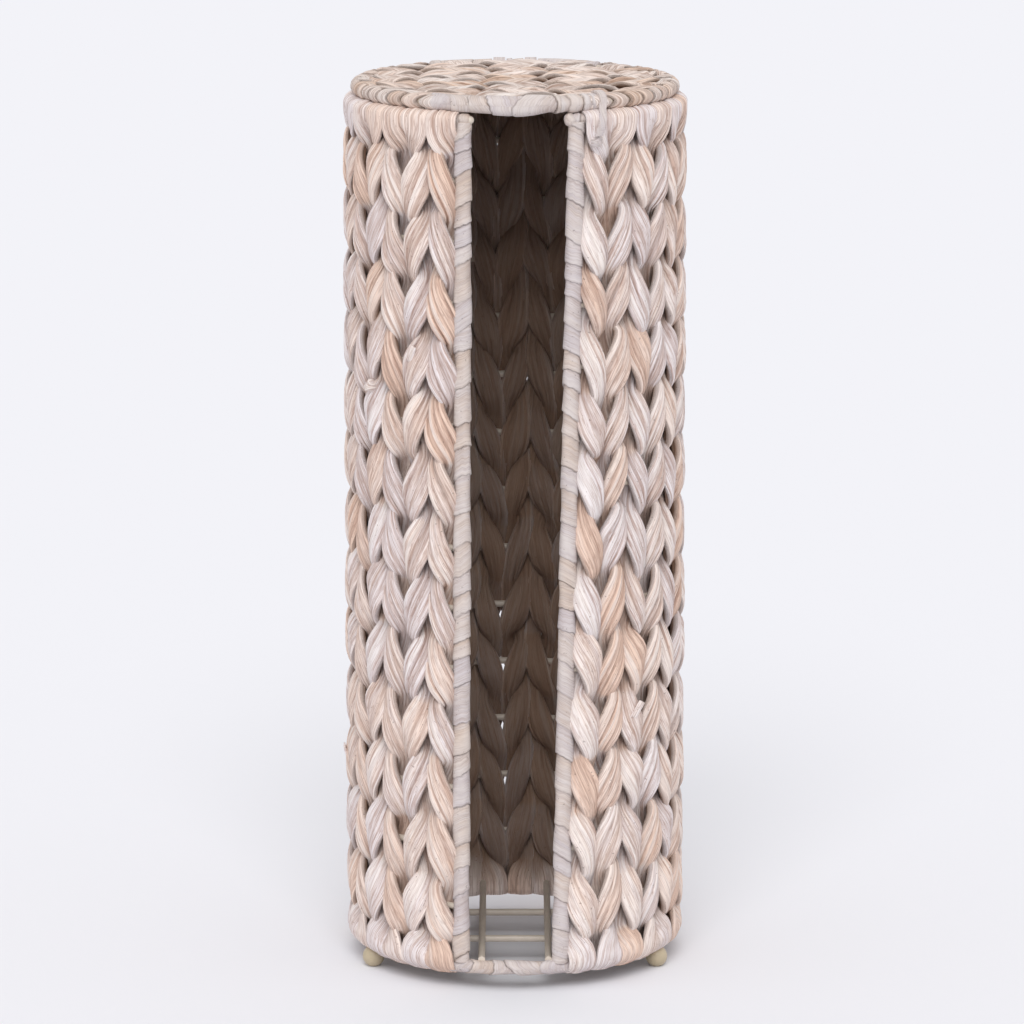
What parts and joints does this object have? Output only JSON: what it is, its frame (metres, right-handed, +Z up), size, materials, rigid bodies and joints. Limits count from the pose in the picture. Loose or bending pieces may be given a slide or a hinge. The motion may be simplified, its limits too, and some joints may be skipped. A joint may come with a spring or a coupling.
{
  "type": "toilet roll storage holder",
  "caption": "Tall woven cylindrical store for spare toilet rolls, on a wire frame with ball feet, with a full-height front slot and a hinged round woven lid.",
  "frame": {"origin": "on the floor under the middle of the base ring", "axes": "+Z up, -Y towards the slot at the front, +X to the right seen from the front"},
  "size_m": [0.15, 0.1472, 0.3925],
  "materials": {
    "coated_wire": "satin cream coating",
    "foot_coating": "satin khaki coating",
    "wall_weave": "whitewashed dried leaf, matte",
    "lid_weave": "whitewashed dried leaf, matte",
    "leaf_binding": "whitewashed dried leaf, matte"
  },
  "bodies": {
    "store": {"top_ring": "coated_wire", "bottom_ring": "coated_wire", "hoop_01": "coated_wire", "hoop_02": "coated_wire", "hoop_03": "coated_wire", "hoop_04": "coated_wire", "hoop_05": "coated_wire", "hoop_06": "coated_wire", "hoop_07": "coated_wire", "hoop_08": "coated_wire", "hoop_09": "coated_wire", "hoop_10": "coated_wire", "hoop_11": "coated_wire", "hoop_12": "coated_wire", "hoop_13": "coated_wire", "slot_post_left": "coated_wire", "slot_post_right": "coated_wire", "upright_left": "coated_wire", "upright_right": "coated_wire", "base_rail_left": "coated_wire", "base_rail_right": "coated_wire", "base_bar_front": "coated_wire", "base_bar_back": "coated_wire", "foot_01": "foot_coating", "foot_02": "foot_coating", "foot_03": "foot_coating", "foot_04": "foot_coating", "post_binding_left": "leaf_binding", "post_binding_right": "leaf_binding", "ring_binding": "leaf_binding", "plait_01": "wall_weave", "plait_02": "wall_weave", "plait_03": "wall_weave", "plait_04": "wall_weave", "plait_05": "wall_weave", "plait_06": "wall_weave", "plait_07": "wall_weave", "plait_08": "wall_weave", "plait_09": "wall_weave", "plait_10": "wall_weave", "plait_11": "wall_weave", "plait_12": "wall_weave", "plait_13": "wall_weave", "plait_14": "wall_weave", "plait_15": "wall_weave", "plait_16": "wall_weave", "hinge_tie_left": "leaf_binding", "hinge_tie_right": "leaf_binding", "closing_knot": "leaf_binding"},
    "lid": {"lid_ring": "coated_wire", "lid_wires": "coated_wire", "lid_binding_front": "leaf_binding", "lid_binding_back": "leaf_binding", "lid_plait_01": "lid_weave", "lid_plait_02": "lid_weave", "lid_plait_03": "lid_weave", "lid_plait_04": "lid_weave", "lid_plait_05": "lid_weave", "closing_tab": "leaf_binding"}
  },
  "joints": [
    {"name": "lid_hinge", "type": "hinge", "parent": "store", "child": "lid", "pos_m": [0, 0.06725, 0.38755], "axis": [-1, 0, 0], "range_deg": [0, 180]}
  ]
}
